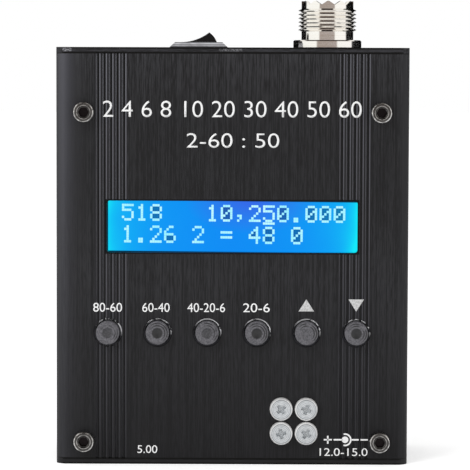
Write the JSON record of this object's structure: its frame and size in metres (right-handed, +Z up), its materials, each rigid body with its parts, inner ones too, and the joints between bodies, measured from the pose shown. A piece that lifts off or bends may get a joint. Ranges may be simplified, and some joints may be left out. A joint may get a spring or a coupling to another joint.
{
  "type": "antenna analyzer",
  "caption": "Handheld antenna analyzer: slim black aluminium case with a wide blue character display, a row of round push buttons, a rocker switch and a threaded coaxial socket on the end.",
  "frame": {"origin": "centre of the outer face of the bottom end plate, on which the case stands", "axes": "+Z up the case towards the coaxial socket, -Y out of the front face, +X to the right seen from the front"},
  "size_m": [0.0954, 0.043, 0.126],
  "materials": {
    "case_black": "black anodised, brushed along its length",
    "end_plate_black": "black anodised plate",
    "black_screw": "black oxide steel",
    "screw_steel": "bare steel socket head screws",
    "zinc_plated_steel": "bright zinc plate",
    "green_laminate": "green solder mask on glass laminate",
    "display_frame_black": "black stamped frame",
    "display_glass_blue": "lit blue liquid crystal cell",
    "light_panel_white": "white light guide",
    "moulded_black": "black moulded resin",
    "button_grey": "dark grey moulded plastic",
    "trimmer_blue": "blue moulded case",
    "white_resin": "white moulded resin",
    "can_steel": "tinned steel can",
    "heatsink_black": "black anodised",
    "capacitor_sleeve": "dark blue sleeve",
    "ferrite": "sintered ferrite",
    "nickel_plate": "nickel plate on brass",
    "contact_brass": "plated brass",
    "tinned_tag": "tinned brass",
    "tinned_wire": "tinned copper wire",
    "bezel_grey": "light grey moulded plastic",
    "rocker_black": "black moulded plastic",
    "lead_red": "red insulation"
  },
  "bodies": {
    "case": {"front_shell": "case_black", "rear_shell": "case_black", "top_end_plate": "end_plate_black", "bottom_end_plate": "end_plate_black", "top_plate_screws": "black_screw", "bottom_plate_screws": "black_screw", "board_screws": "screw_steel", "board_spacers": "zinc_plated_steel", "board_nuts": "zinc_plated_steel", "trimmer_cover_screws": "zinc_plated_steel", "main_board": "green_laminate", "display_board": "green_laminate", "display_frame": "display_frame_black", "display_glass": "display_glass_blue", "display_backlight": "light_panel_white", "display_pin_header": "moulded_black", "tact_switch_bodies": "moulded_black", "trimmer_bodies": "trimmer_blue", "microcontroller": "moulded_black", "signal_generator_chip": "moulded_black", "bridge_chips": "moulded_black", "clock_oscillator": "can_steel", "voltage_regulator": "moulded_black", "regulator_heatsink": "heatsink_black", "electrolytic_capacitors": "capacitor_sleeve", "filter_inductors": "ferrite", "rf_socket_shell": "nickel_plate", "rf_insulator": "white_resin", "rf_centre_contact": "contact_brass", "rf_panel_nut": "zinc_plated_steel", "rf_lock_washer": "zinc_plated_steel", "rf_ground_tag": "tinned_tag", "rf_leads": "tinned_wire", "switch_housing": "bezel_grey", "switch_terminals": "zinc_plated_steel", "switch_leads": "lead_red", "power_jack_housing": "moulded_black", "power_jack_pin": "nickel_plate", "power_jack_contacts": "contact_brass", "usb_shell": "nickel_plate", "usb_tongue": "white_resin", "usb_contacts": "contact_brass"},
    "mode_key": {"mode_button": "button_grey", "mode_plunger": "button_grey"},
    "band_key": {"band_button": "button_grey", "band_plunger": "button_grey"},
    "config_key": {"config_button": "button_grey", "config_plunger": "button_grey"},
    "scan_key": {"scan_button": "button_grey", "scan_plunger": "button_grey"},
    "up_key": {"up_button": "button_grey", "up_plunger": "button_grey"},
    "down_key": {"down_button": "button_grey", "down_plunger": "button_grey"},
    "rocker": {"switch_rocker": "rocker_black"},
    "trimmer_1": {"trimmer_rotor_1": "white_resin"},
    "trimmer_2": {"trimmer_rotor_2": "white_resin"},
    "trimmer_3": {"trimmer_rotor_3": "white_resin"},
    "trimmer_4": {"trimmer_rotor_4": "white_resin"}
  },
  "joints": [
    {"name": "mode_press", "type": "slide", "parent": "case", "child": "mode_key", "axis": [0, 1, 0], "range_m": [0, 0.0003], "stiffness_N_per_m": 400, "springref_m": -0.0002},
    {"name": "band_press", "type": "slide", "parent": "case", "child": "band_key", "axis": [0, 1, 0], "range_m": [0, 0.0003], "stiffness_N_per_m": 400, "springref_m": -0.0002},
    {"name": "config_press", "type": "slide", "parent": "case", "child": "config_key", "axis": [0, 1, 0], "range_m": [0, 0.0003], "stiffness_N_per_m": 400, "springref_m": -0.0002},
    {"name": "scan_press", "type": "slide", "parent": "case", "child": "scan_key", "axis": [0, 1, 0], "range_m": [0, 0.0003], "stiffness_N_per_m": 400, "springref_m": -0.0002},
    {"name": "up_press", "type": "slide", "parent": "case", "child": "up_key", "axis": [0, 1, 0], "range_m": [0, 0.0003], "stiffness_N_per_m": 400, "springref_m": -0.0002},
    {"name": "down_press", "type": "slide", "parent": "case", "child": "down_key", "axis": [0, 1, 0], "range_m": [0, 0.0003], "stiffness_N_per_m": 400, "springref_m": -0.0002},
    {"name": "rocker_switch", "type": "hinge", "parent": "case", "child": "rocker", "pos_m": [-0.0095, 0, 0.113], "axis": [0, 1, 0], "range_deg": [0, 38]},
    {"name": "trimmer_1_turn", "type": "hinge", "parent": "case", "child": "trimmer_1", "pos_m": [0.0134, -0.0104, 0.0086], "axis": [0, 1, 0], "range_deg": [-120, 120]},
    {"name": "trimmer_2_turn", "type": "hinge", "parent": "case", "child": "trimmer_2", "pos_m": [0.0202, -0.0104, 0.0086], "axis": [0, 1, 0], "range_deg": [-120, 120]},
    {"name": "trimmer_3_turn", "type": "hinge", "parent": "case", "child": "trimmer_3", "pos_m": [0.0134, -0.0104, 0.0152], "axis": [0, 1, 0], "range_deg": [-120, 120]},
    {"name": "trimmer_4_turn", "type": "hinge", "parent": "case", "child": "trimmer_4", "pos_m": [0.0202, -0.0104, 0.0152], "axis": [0, 1, 0], "range_deg": [-120, 120]}
  ]
}
